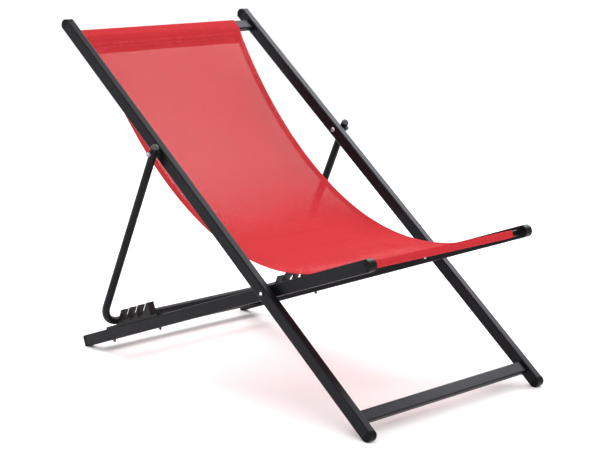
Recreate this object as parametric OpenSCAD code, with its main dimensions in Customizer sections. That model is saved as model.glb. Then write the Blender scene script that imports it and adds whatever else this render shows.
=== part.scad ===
// Folding sling lounger: two crossed aluminium frames on a common pivot, a U-shaped rear
// support that drops into toothed racks, and one fabric sling hung between two crossbars.
// Millimetres, +Z up, sitter faces -Y. "left" is the sitter's left, at +X.

/* [Rails] */
// Width over the outer faces of the two back rails
frame_w = 580; // [500:5:680]
// Depth of a rail, seen from the side
rail_h = 28; // [24:1:34]
// Thickness of a rail, seen from above
rail_w = 20; // [17:1:26]
// Wall of the rectangular tubes
rail_wall = 1.5; // [1.2:0.1:2.5]
// Corner radius of the rectangular tubes
rail_r = 3; // [2.6:0.2:5]

/* [Back frame] */
// Main pivot to the foot end of a back rail
foot_len = 400; // [340:5:480]
// Main pivot to the head end of a back rail
head_len = 848; // [700:5:900]
// Head and foot crossbar centres, in from the rail ends
back_bar_inset = 55; // [45:1:80]

/* [Seat frame] */
// Main pivot to the front end of a seat rail
front_len = 304; // [250:5:330]
// Main pivot to the rear foot of a seat rail
rear_len = 670; // [630:5:760]
// Gap between a back rail and the seat rail beside it
rail_gap = 4; // [3:0.5:10]
// Front crossbar centre, in from the front rail end
front_bar_inset = 34; // [30:1:60]
// Rear crossbar centre, in from the rear rail end
rear_bar_inset = 55; // [45:1:70]

/* [Crossbars] */
// Width of a crossbar along the rails
bar_h = 28; // [22:1:34]
// Thickness of a crossbar
bar_t = 14; // [12:1:20]

/* [End caps] */
// Length of the spigot inside the tube
cap_plug = 22; // [14:1:40]
// Straight part of a round cap, before its round end
cap_collar = 2; // [1:0.5:6]
// Length of a square cap outside the tube
square_cap = 12; // [9:1:20]
// Corner radius of a square cap
square_cap_r = 4; // [3:0.5:8]
// Depth of the flat worn under each foot
foot_flat = 1.2; // [0.6:0.1:2]
// Play between a spigot and its tube
plug_play = 0.15; // [0.1:0.05:0.3]

/* [Main pivot] */
// Diameter of the pivot bolt
pivot_d = 5; // [4:0.5:8]
// Diameter of its round head
pivot_head_d = 8; // [8:0.5:12]
// Height of its round head
pivot_head_h = 2.6; // [2:0.2:3.6]
// Diameter of the dark washer under the head
pivot_washer_d = 15; // [13:1:22]
// Thickness of that washer
washer_t = 1; // [0.8:0.1:2]
// Diameter of the spacer between the rails
pivot_spacer_d = 18; // [14:1:24]
// Width over the flats of the pivot nut
pivot_nut_af = 9; // [9:1:13]
// Thickness of the pivot nut
pivot_nut_t = 4.5; // [3.5:0.5:7]
// Radial running clearance of bolts in turning parts
run_play = 0.05; // [0.02:0.01:0.09]
// Gap between flat faces that turn on each other
turn_gap = 0.2; // [0.15:0.05:0.4]

/* [Support frame] */
// Main pivot to the support pivot, along the back rail
support_pivot = 417.5; // [400:2.5:450]
// Support pivot to the centre of its bottom bar
support_len = 460; // [450:2:490]
// Diameter of the support tube
tube_d = 18; // [16:1:22]
// Wall of the support tube
tube_wall = 1.5; // [1.2:0.1:2.5]
// Centre-line radius of its two bends
bend_r = 50; // [40:2:70]
// Gap between a back rail and the support tube
support_gap = 7; // [5:0.5:12]
// Tube left above the support pivot
tube_end = 15; // [12:1:30]
// Diameter of the support bolts
support_bolt_d = 6; // [5:0.5:8]
// Diameter of their round heads
support_head_d = 12; // [10:0.5:15]
// Height of their round heads
support_head_h = 3.5; // [2.5:0.5:5]
// Diameter of the saddle spacers and washers
saddle_d = 14; // [13:1:16]
// Width over the flats of the cap nuts
cap_nut_af = 10; // [9:1:13]
// Height of the hexagon of a cap nut
cap_nut_t = 4; // [3:0.5:6]

/* [Notch racks] */
// Main pivot to the bar in the rearmost notch, along the seat rail
first_notch = 536.3; // [520:1:560]
// Distance between notches
notch_pitch = 31.6; // [30.5:0.1:34]
// Number of notches
notch_count = 4; // [3:1:5]
// Lean of the notches towards the front, from square to the rail
notch_lean = 42; // [35:1:45]
// Floor of a rack under the bar
rack_floor = 4.6; // [3.6:0.2:8]
// Height of the teeth above the rail
tooth_h = 34.6; // [28:0.2:40]
// Width of a rack across the rail
rack_w = 18; // [14:1:20]
// Thickness of the block behind the front notch, at its tip
front_tooth = 6; // [4:0.5:12]
// Length of the front foot, ahead of the block
front_foot = 22; // [20:1:32]
// Rear end of a rack behind the bar in the rearmost notch
rear_foot = 39; // [30:1:48]
// Play around the bar in a notch
notch_play = 0.3; // [0.3:0.1:0.6]
// Rack screw to the end of its foot
screw_inset = 8.5; // [7:0.5:11]
// Diameter of a rack screw
screw_d = 4; // [3:0.5:5]
// Diameter of its countersunk head
screw_head_d = 8; // [7:0.5:9]
// Tip of a rack screw below the rail
screw_tip = 6; // [5:0.5:9]
// Width over the flats of a rack nut
rack_nut_af = 7; // [6.5:0.5:9]
// Thickness of a rack nut
rack_nut_t = 3.2; // [2.5:0.1:4]

/* [Sling] */
// Width of the sling
sling_w = 465; // [360:5:465]
// Distance of the sling's middle from the lounger's, towards the sitter's right
sling_shift = 12.5; // [0:0.5:12.5]
// Thickness of the sling
sling_t = 1.2; // [0.8:0.1:2]
// Play between a hem sleeve and its crossbar
hem_play = 0.4; // [0.3:0.1:1]
// Angle below level at which the sling leaves the head bar
head_drop = 59.8; // [45:0.2:70]
// Pull of the head end on the curve
head_pull = 303; // [200:1:360]
// Angle above level at which the sling reaches the front bar
front_rise = 27.6; // [22:0.2:34]
// Pull of the front end on the curve
front_pull = 411; // [300:1:460]
// Share of the curve in the back half of the sling
sling_split = 0.62; // [0.5:0.01:0.75]

/* [Hidden] */
$fn = 48;
LEFT = 1;
RIGHT = -1;
// Cutters run this far past what they cut, and joined shapes sink this far into each other
eps = 1;
sink = 0.5;
// Least corner radius inside a tube
least_r = 0.5;
// Distance by which the front rack screw stands further in than the rear one
front_screw_set = 2;
// Distance by which an outer washer stands proud of the support tube
saddle_lip = 2;
// Distance inside the front bar's rear edge at which the sling meets it
front_lap = 2;
// Stand-in for a thread: the smooth play between a screw and its nut
thread_play = 0.02;
bolt_tip = 1;

// Stations across the width, from the centre plane outwards
back_out = frame_w / 2;
back_in = back_out - rail_w;
seat_out = back_in - rail_gap;
seat_in = seat_out - rail_w;
back_x = back_out - rail_w / 2;
seat_x = seat_out - rail_w / 2;
leg_x = back_out + support_gap + tube_d / 2;

// The bar in the rearmost notch, in the seat frame: rearwards and up from the main pivot
bar_up = rail_h / 2 + rack_floor + notch_play + tube_d / 2;
bar_dist = norm([first_notch, bar_up]);
// Angle between the frames, from the triangle of main pivot, support pivot and bar
spread = atan2(bar_up, first_notch) + acos((support_pivot * support_pivot + bar_dist * bar_dist
    - support_len * support_len) / (2 * support_pivot * bar_dist));
// Lean of the back rails that puts the round front feet and the square rear feet level
foot_r = rail_h / 2;
rear_y = rear_len - square_cap_r;
rear_z = rail_h / 2 - square_cap_r;
level_p = foot_len - foot_r + rear_y * cos(spread) - rear_z * sin(spread);
level_q = rear_y * sin(spread) + rear_z * cos(spread);
back_lean = atan2(level_q, level_p) - asin((foot_r - square_cap_r) / norm([level_p, level_q]));
seat_tilt = spread - back_lean;
support_tilt = atan2(bar_up - support_pivot * sin(spread), first_notch - support_pivot * cos(spread));
// The main pivot, with the feet on the ground and the whole object centred over the origin
pivot_z = (foot_len - foot_r) * sin(back_lean) + foot_r - foot_flat;
pivot_y = -((head_len - foot_r) - (foot_len - foot_r)) * cos(back_lean) / 2;

back_round_cap = foot_r + cap_collar;
head_bar_y = head_len - back_bar_inset;
foot_bar_y = -foot_len + back_bar_inset;
front_bar_y = -front_len + front_bar_inset;
rear_bar_y = rear_len - rear_bar_inset;

// Racks, in the seat frame
rail_top = rail_h / 2;
slot_r = tube_d / 2 + notch_play;
// A notch is a little narrower above its round seat
slot_half = slot_r - notch_play / 3;
last_notch = first_notch - (notch_count - 1) * notch_pitch;
tip_up = rail_top + tooth_h;
block_front = last_notch - (tip_up - bar_up) * tan(notch_lean) - slot_r / cos(notch_lean) - front_tooth;
rack_front = block_front - front_foot;
rack_rear = first_notch + rear_foot;
front_screw = block_front - front_foot + screw_inset + front_screw_set;
rear_screw = rack_rear - screw_inset;
screw_play = 0.2;
screw_head_h = (screw_head_d - screw_d) / 2 + 0.2;

// The sling's curve, in the plane of the side view, about the main pivot
function turned(p, a) = [p[0] * cos(a) - p[1] * sin(a), p[0] * sin(a) + p[1] * cos(a)];
sleeve = hem_play + sling_t / 2;
sling_top = turned([head_bar_y - bar_h / 2 - sleeve, 0], back_lean);
sling_low = turned([front_bar_y + bar_h / 2 - front_lap, bar_t / 2 + sleeve], -seat_tilt);
curve = [
    sling_top,
    sling_top - head_pull * [cos(head_drop), sin(head_drop)],
    sling_low + front_pull * [cos(front_rise), -sin(front_rise)],
    sling_low
];
function bezier(t) = pow(1 - t, 3) * curve[0] + 3 * t * pow(1 - t, 2) * curve[1]
    + 3 * t * t * (1 - t) * curve[2] + pow(t, 3) * curve[3];
function slope(t) = pow(1 - t, 2) * (curve[1] - curve[0]) + 2 * t * (1 - t) * (curve[2] - curve[1])
    + t * t * (curve[3] - curve[2]);
function across(t) = [-slope(t)[1], slope(t)[0]] / norm(slope(t));
curve_steps = 28;

module at_pivot() { translate([0, pivot_y, pivot_z]) children(); }
// Seat frame: +Y runs to the rear foot, +Z towards the sitter
module at_seat() { at_pivot() rotate([-seat_tilt, 0, 0]) children(); }
// Back frame: +Y runs to the head, +Z towards the sitter
module at_back() { at_pivot() rotate([back_lean, 0, 0]) children(); }
// Support frame: +Y runs down the legs
module at_support() {
    at_back() translate([0, support_pivot, 0]) rotate([support_tilt - seat_tilt - back_lean, 0, 0]) children();
}

module rounded(w, h, r) {
    square([w - 2 * r, h], center = true);
    square([w, h - 2 * r], center = true);
    for (x = [-1, 1], y = [-1, 1]) translate([x * (w / 2 - r), y * (h / 2 - r)]) circle(r);
}
// Extrudes a section drawn in X and Z from y0 to y1
module along_y(y0, y1) { translate([0, y1, 0]) rotate([90, 0, 0]) linear_extrude(y1 - y0) children(); }
// Extrudes a side view drawn in Y and Z over width w, centred on X
module across_x(w) { rotate([90, 0, 90]) translate([0, 0, -w / 2]) linear_extrude(w) children(); }
// A round pin along X, from x0 outwards to x1 on the given side
module pin_x(side, x0, x1, d) {
    rotate([0, 90 * side, 0]) translate([0, 0, x0]) cylinder(d = d, h = x1 - x0);
}
// Turns a half section, drawn as radius and station, about X on the given side
module turned_x(side) { rotate([0, 90 * side, 0]) rotate_extrude() children(); }
// Half section of a plain shank
module shank(x0, x1, d) { translate([0, x0]) square([d / 2, x1 - x0]); }
// Half section of a round head whose flat side is at x0; a negative h points it inwards
module dome(x0, d, h) {
    ball = (d * d / 4 + h * h) / (2 * abs(h));
    intersection() {
        translate([0, x0 + h - sign(h) * ball]) circle(ball);
        translate([0, min(x0, x0 + h)]) square([d, abs(h)]);
    }
}
module hex_x(side, x0, x1, af) {
    rotate([0, 90 * side, 0]) translate([0, 0, x0]) cylinder(d = af / cos(30), h = x1 - x0, $fn = 6);
}
module rail_section() { rounded(rail_w, rail_h, rail_r); }
module rail_bore() {
    rounded(rail_w - 2 * rail_wall, rail_h - 2 * rail_wall, max(rail_r - rail_wall, least_r));
}
module rail(y0, y1) {
    difference() {
        along_y(y0, y1) rail_section();
        along_y(y0 - eps, y1 + eps) rail_bore();
    }
}
module crossbar(half, y) {
    translate([0, y, 0]) rotate([0, 90, 0]) translate([0, 0, -half]) linear_extrude(2 * half)
        difference() {
            rounded(bar_t, bar_h, rail_r);
            rounded(bar_t - 2 * rail_wall, bar_h - 2 * rail_wall, max(rail_r - rail_wall, least_r));
        }
}
// Cap on a tube end at y = 0, pointing along +Y
module cap(outline_len) {
    intersection() {
        across_x(rail_w + eps) children();
        along_y(0, outline_len) rail_section();
    }
    along_y(-cap_plug, 0) rounded(rail_w - 2 * (rail_wall + plug_play),
        rail_h - 2 * (rail_wall + plug_play), max(rail_r - rail_wall - plug_play, least_r));
}
module round_cap() {
    cap(back_round_cap) {
        union() {
            translate([cap_collar, 0]) circle(foot_r);
            translate([0, -foot_r]) square([cap_collar, rail_h]);
        }
    }
}
module square_cap() {
    cap(square_cap) {
        union() {
            translate([0, -rail_h / 2]) square([square_cap - square_cap_r, rail_h]);
            translate([0, square_cap_r - rail_h / 2]) square([square_cap, rail_h - 2 * square_cap_r]);
            for (z = [-1, 1]) translate([square_cap - square_cap_r, z * (rail_h / 2 - square_cap_r)])
                circle(square_cap_r);
        }
    }
}
module above_ground() {
    reach = 2 * head_len;
    difference() {
        children();
        translate([-frame_w, -reach, -rail_h]) cube([2 * frame_w, 2 * reach, rail_h]);
    }
}

module seat_rail(side) {
    color("#2b2d30") at_seat() difference() {
        translate([side * seat_x, 0, 0]) rail(-front_len + back_round_cap, rear_len - square_cap);
        pin_x(side, seat_in - eps, seat_out + eps, pivot_d + 2 * run_play);
        for (y = [front_screw, rear_screw]) translate([side * seat_x, y, -rail_h])
            cylinder(d = screw_d + 2 * screw_play, h = 2 * rail_h);
    }
}
module back_rail(side) {
    color("#2b2d30") at_back() difference() {
        translate([side * back_x, 0, 0]) rail(-foot_len + back_round_cap, head_len - back_round_cap);
        pin_x(side, back_in - eps, back_out + eps, pivot_d + 2 * run_play);
        translate([0, support_pivot, 0]) pin_x(side, back_in - eps, back_out + eps, support_bolt_d + 2 * run_play);
    }
}
module front_crossbar() { color("#333539") at_seat() crossbar(seat_in, front_bar_y); }
module rear_crossbar() { color("#333539") at_seat() crossbar(seat_in, rear_bar_y); }
module head_crossbar() { color("#333539") at_back() crossbar(back_in, head_bar_y); }
module foot_crossbar() { color("#333539") at_back() crossbar(back_in, foot_bar_y); }

module seat_front_cap(side) {
    color("#1d1e20") at_seat() translate([side * seat_x, -front_len + back_round_cap, 0])
        rotate([180, 0, 0]) round_cap();
}
module seat_rear_cap(side) {
    color("#1d1e20") above_ground() at_seat()
        translate([side * seat_x, rear_len - square_cap, 0]) square_cap();
}
module head_cap(side) {
    color("#1d1e20") at_back() translate([side * back_x, head_len - back_round_cap, 0]) round_cap();
}
module foot_cap(side) {
    color("#1d1e20") above_ground() at_back()
        translate([side * back_x, -foot_len + back_round_cap, 0]) rotate([180, 0, 0]) round_cap();
}

module notch_rack(side) {
    high = 2 * tooth_h;
    color("#141416") at_seat() translate([side * seat_x, 0, 0]) difference() {
        across_x(rack_w) difference() {
            union() {
                translate([rack_front, rail_top]) square([rack_rear - rack_front, rack_floor]);
                translate([block_front, rail_top]) square([first_notch - block_front, tooth_h]);
            }
            for (i = [0 : notch_count - 1]) translate([first_notch - i * notch_pitch, bar_up]) {
                circle(slot_r);
                rotate(notch_lean) translate([-slot_half, 0]) square([2 * slot_half, high]);
            }
            // The rearmost notch has no rear wall, which leaves the bar its way out
            translate([first_notch, bar_up]) {
                translate([0, -slot_r]) square([rear_foot + eps, high]);
                rotate(notch_lean) square([rear_foot, high]);
            }
        }
        for (y = [front_screw, rear_screw]) translate([0, y, rail_top]) {
            translate([0, 0, -eps]) cylinder(d = screw_d + 2 * screw_play, h = rack_floor + 2 * eps);
            translate([0, 0, rack_floor - screw_head_h]) cylinder(d1 = screw_d + 2 * screw_play,
                d2 = screw_head_d + 2 * screw_play, h = screw_head_h);
        }
    }
}
module rack_screw() {
    cylinder(d1 = screw_d, d2 = screw_head_d, h = screw_head_h);
    long = rail_h + rack_floor - screw_head_h + screw_tip;
    translate([0, 0, -long]) cylinder(d = screw_d, h = long);
}
module each_rack_screw() {
    for (side = [LEFT, RIGHT], y = [front_screw, rear_screw])
        at_seat() translate([side * seat_x, y, 0]) children();
}
module rack_screws() {
    color("#3a3b3e") each_rack_screw() translate([0, 0, rail_top + rack_floor - screw_head_h]) rack_screw();
}
module rack_nuts() {
    color("#3a3b3e") each_rack_screw() translate([0, 0, -rail_top - rack_nut_t]) difference() {
        cylinder(d = rack_nut_af / cos(30), h = rack_nut_t, $fn = 6);
        translate([0, 0, -eps]) cylinder(d = screw_d + 2 * thread_play, h = rack_nut_t + 2 * eps);
    }
}

pivot_head_x = back_out + 2 * turn_gap + washer_t;
pivot_nut_x = seat_in - turn_gap;
module pivot_bolt(side) {
    color("#d9dadc") at_pivot() turned_x(side) {
        dome(pivot_head_x, pivot_head_d, pivot_head_h);
        shank(pivot_nut_x - pivot_nut_t - bolt_tip, pivot_head_x + sink, pivot_d);
    }
}
module ring_x(side, x0, x1, d, bore) {
    difference() {
        pin_x(side, x0, x1, d);
        pin_x(side, x0 - eps, x1 + eps, bore);
    }
}
module pivot_washer(side) {
    color("#101011") at_pivot()
        ring_x(side, back_out + turn_gap, back_out + turn_gap + washer_t, pivot_washer_d, pivot_d + 2 * run_play);
}
module pivot_spacer(side) {
    color("#101011") at_pivot()
        ring_x(side, seat_out + turn_gap, back_in - turn_gap, pivot_spacer_d, pivot_d + 2 * run_play);
}
module pivot_nut(side) {
    color("#9a9c9f") at_pivot() difference() {
        hex_x(side, pivot_nut_x - pivot_nut_t, pivot_nut_x, pivot_nut_af);
        pin_x(side, pivot_nut_x - pivot_nut_t - eps, pivot_nut_x + eps, pivot_d + 2 * thread_play);
    }
}

saddle_in = back_out + turn_gap;
saddle_out = leg_x + tube_d / 2 + saddle_lip;
cap_nut_x = saddle_out + turn_gap;
module leg_hole(side) { pin_x(side, back_out, saddle_out + eps, support_bolt_d + 2 * run_play); }
module u_path(d) {
    for (side = [LEFT, RIGHT]) {
        translate([side * leg_x, support_len - bend_r, 0]) rotate([90, 0, 0])
            cylinder(d = d, h = support_len - bend_r + tube_end);
        translate([side * (leg_x - bend_r), support_len - bend_r, 0]) rotate([0, 0, side > 0 ? 0 : 90])
            rotate_extrude(angle = 90) translate([bend_r, 0]) circle(d = d);
    }
    translate([0, support_len, 0]) rotate([0, 90, 0])
        cylinder(d = d, h = 2 * (leg_x - bend_r), center = true);
}
module support_frame() {
    color("#2b2d30") at_support() difference() {
        u_path(tube_d);
        u_path(tube_d - 2 * tube_wall);
        for (side = [LEFT, RIGHT]) {
            leg_hole(side);
            translate([side * leg_x, eps - tube_end, 0]) rotate([90, 0, 0])
                cylinder(d = tube_d - 2 * tube_wall, h = 2 * eps);
        }
    }
}
module support_plug(side) {
    plug_len = tube_end - support_bolt_d;
    color("#6e7074") at_support() translate([side * leg_x, -tube_end, 0]) rotate([90, 0, 0]) {
        intersection() {
            sphere(d = tube_d);
            cylinder(d = 2 * tube_d, h = tube_d);
        }
        translate([0, 0, -plug_len]) cylinder(d = tube_d - 2 * tube_wall - 2 * plug_play, h = plug_len + sink);
    }
}
module saddle(side, x0, x1) {
    difference() {
        pin_x(side, x0, x1, saddle_d);
        translate([side * leg_x, -tube_d, 0]) rotate([-90, 0, 0])
            cylinder(d = tube_d + 2 * thread_play, h = 2 * tube_d);
        leg_hole(side);
    }
}
module support_spacer(side) { color("#101011") at_support() saddle(side, saddle_in, leg_x - tube_d / 4); }
module support_washer(side) { color("#101011") at_support() saddle(side, leg_x + tube_d / 4, saddle_out); }
module support_bolt(side) {
    color("#46484c") at_support() turned_x(side) {
        shank(back_in - turn_gap - sink, cap_nut_x + cap_nut_t - bolt_tip, support_bolt_d);
        dome(back_in - turn_gap, support_head_d, -support_head_h);
    }
}
module support_cap_nut(side) {
    color("#b9bbbe") at_support() difference() {
        union() {
            hex_x(side, cap_nut_x, cap_nut_x + cap_nut_t, cap_nut_af);
            turned_x(side) {
                shank(cap_nut_x + sink, cap_nut_x + cap_nut_t, cap_nut_af - 1);
                dome(cap_nut_x + cap_nut_t, cap_nut_af - 1, cap_nut_af / 3);
            }
        }
        pin_x(side, cap_nut_x - eps, cap_nut_x + cap_nut_t - sink, support_bolt_d + 2 * thread_play);
    }
}

// Strip of the sling between two shares of its curve
module sling_strip(t0, t1) {
    steps = [for (i = [0 : curve_steps]) t0 + (t1 - t0) * i / curve_steps];
    upper = [for (t = steps) bezier(t) + across(t) * sling_t / 2];
    lower = [for (i = [curve_steps : -1 : 0]) bezier(steps[i]) - across(steps[i]) * sling_t / 2];
    polygon(concat(upper, lower));
}
// Fabric sleeve round a crossbar, in the side view
module hem_sleeve() {
    difference() {
        rounded(bar_h + 2 * (hem_play + sling_t), bar_t + 2 * (hem_play + sling_t), rail_r + hem_play + sling_t);
        rounded(bar_h + 2 * hem_play, bar_t + 2 * hem_play, rail_r + hem_play);
    }
}
module sling_back() {
    color("#e0485a") at_pivot() translate([-sling_shift, 0, 0]) across_x(sling_w) {
        sling_strip(0, sling_split);
        rotate(back_lean) translate([head_bar_y, 0]) hem_sleeve();
    }
}
module sling_seat() {
    color("#d62f44") at_pivot() translate([-sling_shift, 0, 0]) across_x(sling_w) {
        sling_strip(sling_split, 1);
        rotate(-seat_tilt) translate([front_bar_y, 0]) hem_sleeve();
    }
}

seat_rail(LEFT);  // seat_rail_left
seat_rail(RIGHT);  // seat_rail_right
front_crossbar();
rear_crossbar();
seat_front_cap(LEFT);  // seat_front_cap_left
seat_front_cap(RIGHT);  // seat_front_cap_right
seat_rear_cap(LEFT);  // seat_rear_cap_left
seat_rear_cap(RIGHT);  // seat_rear_cap_right
notch_rack(LEFT);  // notch_rack_left
notch_rack(RIGHT);  // notch_rack_right
rack_screws();
rack_nuts();
sling_seat();
pivot_bolt(LEFT);  // pivot_bolt_left
pivot_bolt(RIGHT);  // pivot_bolt_right
pivot_washer(LEFT);  // pivot_washer_left
pivot_washer(RIGHT);  // pivot_washer_right
pivot_spacer(LEFT);  // pivot_spacer_left
pivot_spacer(RIGHT);  // pivot_spacer_right
pivot_nut(LEFT);  // pivot_nut_left
pivot_nut(RIGHT);  // pivot_nut_right
back_rail(LEFT);  // back_rail_left
back_rail(RIGHT);  // back_rail_right
head_crossbar();
foot_crossbar();
head_cap(LEFT);  // head_cap_left
head_cap(RIGHT);  // head_cap_right
foot_cap(LEFT);  // foot_cap_left
foot_cap(RIGHT);  // foot_cap_right
sling_back();
support_bolt(LEFT);  // support_bolt_left
support_bolt(RIGHT);  // support_bolt_right
support_cap_nut(LEFT);  // support_cap_nut_left
support_cap_nut(RIGHT);  // support_cap_nut_right
support_frame();
support_plug(LEFT);  // support_plug_left
support_plug(RIGHT);  // support_plug_right
support_spacer(LEFT);  // support_spacer_left
support_spacer(RIGHT);  // support_spacer_right
support_washer(LEFT);  // support_washer_left
support_washer(RIGHT);  // support_washer_right
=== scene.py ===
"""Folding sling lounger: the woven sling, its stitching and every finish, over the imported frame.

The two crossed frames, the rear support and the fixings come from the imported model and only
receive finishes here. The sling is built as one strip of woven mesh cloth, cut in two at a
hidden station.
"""

from __future__ import annotations

import logging
import math
from dataclasses import dataclass, field
from enum import Enum
from typing import ClassVar, Sequence

import bpy
import numpy as np
from mathutils import Matrix, Vector, noise

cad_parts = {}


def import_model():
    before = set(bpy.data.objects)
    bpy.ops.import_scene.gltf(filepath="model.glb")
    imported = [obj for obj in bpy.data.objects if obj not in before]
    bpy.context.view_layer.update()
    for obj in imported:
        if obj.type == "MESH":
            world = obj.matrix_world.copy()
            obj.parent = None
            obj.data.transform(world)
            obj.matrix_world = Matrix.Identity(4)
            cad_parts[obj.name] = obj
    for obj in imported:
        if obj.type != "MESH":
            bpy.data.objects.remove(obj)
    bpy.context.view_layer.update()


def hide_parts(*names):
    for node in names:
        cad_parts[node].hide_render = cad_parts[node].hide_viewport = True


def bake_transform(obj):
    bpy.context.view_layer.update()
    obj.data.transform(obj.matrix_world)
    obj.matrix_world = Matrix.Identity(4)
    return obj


LOG = logging.getLogger("lounger")

Pair = tuple[float, float]
Triple = tuple[float, float, float]
Colour = Triple
Array = np.ndarray


class Side(Enum):
    """Which hand of the sitter a piece stands on."""

    LEFT = 1
    RIGHT = -1


class Thread(Enum):
    """Direction in which a yarn of the cloth runs."""

    LENGTHWISE = "lengthwise"
    CROSSWISE = "crosswise"


def eased(value: float | Array) -> float | Array:
    """Return value clipped to 0..1 and smoothed at both ends."""
    clipped = np.clip(value, 0.0, 1.0)
    return clipped * clipped * (3.0 - 2.0 * clipped)


# --------------------------------------------------------------------------------------
# Finishes
# --------------------------------------------------------------------------------------


class NodeSheet:
    """Small helper that adds and joins the nodes of one material."""

    def __init__(self, name: str) -> None:
        """Start an empty material with a principled shader.

        Args:
            name: Name of the material.
        """
        self.material = bpy.data.materials.new(name)
        self.material.use_nodes = True
        self.tree = self.material.node_tree
        self.tree.nodes.clear()
        self.output = self.tree.nodes.new("ShaderNodeOutputMaterial")
        self.shader = self.tree.nodes.new("ShaderNodeBsdfPrincipled")
        self.join(self.shader.outputs["BSDF"], self.output.inputs["Surface"])

    def join(self, source: bpy.types.NodeSocket, target: bpy.types.NodeSocket) -> None:
        """Link one socket to another."""
        self.tree.links.new(source, target)

    def node(self, kind: str, **settings: object) -> bpy.types.Node:
        """Add a node and set its properties.

        Args:
            kind: Blender's name of the node type.
            **settings: Properties of the node.

        Returns:
            The new node.
        """
        made = self.tree.nodes.new(kind)
        for key, value in settings.items():
            setattr(made, key, value)
        return made

    def feed(self, socket: bpy.types.NodeSocket, value: object) -> None:
        """Set a socket to a plain value, or link it where the value is a socket.

        Args:
            socket: The socket to set.
            value: A plain value or another socket.
        """
        if isinstance(value, bpy.types.NodeSocket):
            self.join(value, socket)
        else:
            socket.default_value = value

    def calc(self, operation: str, *values: object) -> bpy.types.NodeSocket:
        """Add a Math node.

        Args:
            operation: Name of the operation.
            *values: Numbers or sockets, in order.

        Returns:
            The socket that holds the result.
        """
        made = self.node("ShaderNodeMath", operation=operation)
        for socket, value in zip(made.inputs, values):
            self.feed(socket, value)
        return made.outputs[0]

    def span(
        self, value: bpy.types.NodeSocket, low: object, high: object, start: float, end: float
    ) -> bpy.types.NodeSocket:
        """Map a value smoothly from one range to another.

        Args:
            value: Socket with the value.
            low: Where the first range starts, a number or a socket.
            high: Where it ends.
            start: Result at its start.
            end: Result at its end.

        Returns:
            The socket that holds the result.
        """
        made = self.node("ShaderNodeMapRange", interpolation_type="SMOOTHSTEP")
        for name, entry in (
            ("Value", value),
            ("From Min", low),
            ("From Max", high),
            ("To Min", start),
            ("To Max", end),
        ):
            self.feed(made.inputs[name], entry)
        return made.outputs["Result"]

    def blend(
        self, factor: object, first: Colour, second: Colour | bpy.types.NodeSocket
    ) -> bpy.types.NodeSocket:
        """Mix two colours.

        Args:
            factor: Share of the second colour.
            first: The first colour.
            second: The second colour, or a socket that gives it.

        Returns:
            The socket that holds the mixed colour.
        """
        made = self.node("ShaderNodeMix", data_type="RGBA")
        self.feed(made.inputs[0], factor)
        for socket, value in ((made.inputs[6], first), (made.inputs[7], second)):
            self.feed(socket, (*value, 1.0) if isinstance(value, tuple) else value)
        return made.outputs[2]

    def stretched(self, where: bpy.types.NodeSocket, stretch: Triple) -> bpy.types.NodeSocket:
        """Return coordinates stretched along each axis.

        Args:
            where: Coordinates to stretch.
            stretch: Factor along each axis.

        Returns:
            The socket that holds the stretched coordinates.
        """
        mapped = self.node("ShaderNodeMapping")
        mapped.inputs["Scale"].default_value = stretch
        self.join(where, mapped.inputs["Vector"])
        return mapped.outputs["Vector"]

    def place(self, stretch: Triple = (1.0, 1.0, 1.0)) -> bpy.types.NodeSocket:
        """Return object coordinates stretched along each axis."""
        where = self.node("ShaderNodeTexCoord")
        return self.stretched(where.outputs["Object"], stretch)

    def speckle(
        self, where: bpy.types.NodeSocket, scale: float, detail: float = 2.0, rough: float = 0.5
    ) -> bpy.types.NodeSocket:
        """Add a noise.

        Args:
            where: Coordinates at which it is read.
            scale: How often it changes in one unit of them.
            detail: Number of finer layers.
            rough: Weight of the finer layers.

        Returns:
            The socket that holds the noise, about 0.5 on average.
        """
        made = self.node("ShaderNodeTexNoise")
        self.feed(made.inputs["Vector"], where)
        self.feed(made.inputs["Scale"], scale)
        self.feed(made.inputs["Detail"], detail)
        self.feed(made.inputs["Roughness"], rough)
        return made.outputs["Fac"]

    def emboss(
        self, height: bpy.types.NodeSocket, strength: float, depth: float
    ) -> bpy.types.NodeSocket:
        """Return a normal raised by a height.

        Args:
            height: Socket with the height, from 0 to 1.
            strength: Share of the effect.
            depth: Height of 1, in metres.

        Returns:
            The socket that holds the normal.
        """
        made = self.node("ShaderNodeBump")
        made.inputs["Strength"].default_value = strength
        made.inputs["Distance"].default_value = depth
        self.join(height, made.inputs["Height"])
        return made.outputs["Normal"]


@dataclass(frozen=True)
class Finish:
    """A finish that any of the lounger's pieces can wear."""

    name: str

    def mix(self) -> bpy.types.Material:
        """Make the finish's material."""
        raise NotImplementedError


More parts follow.
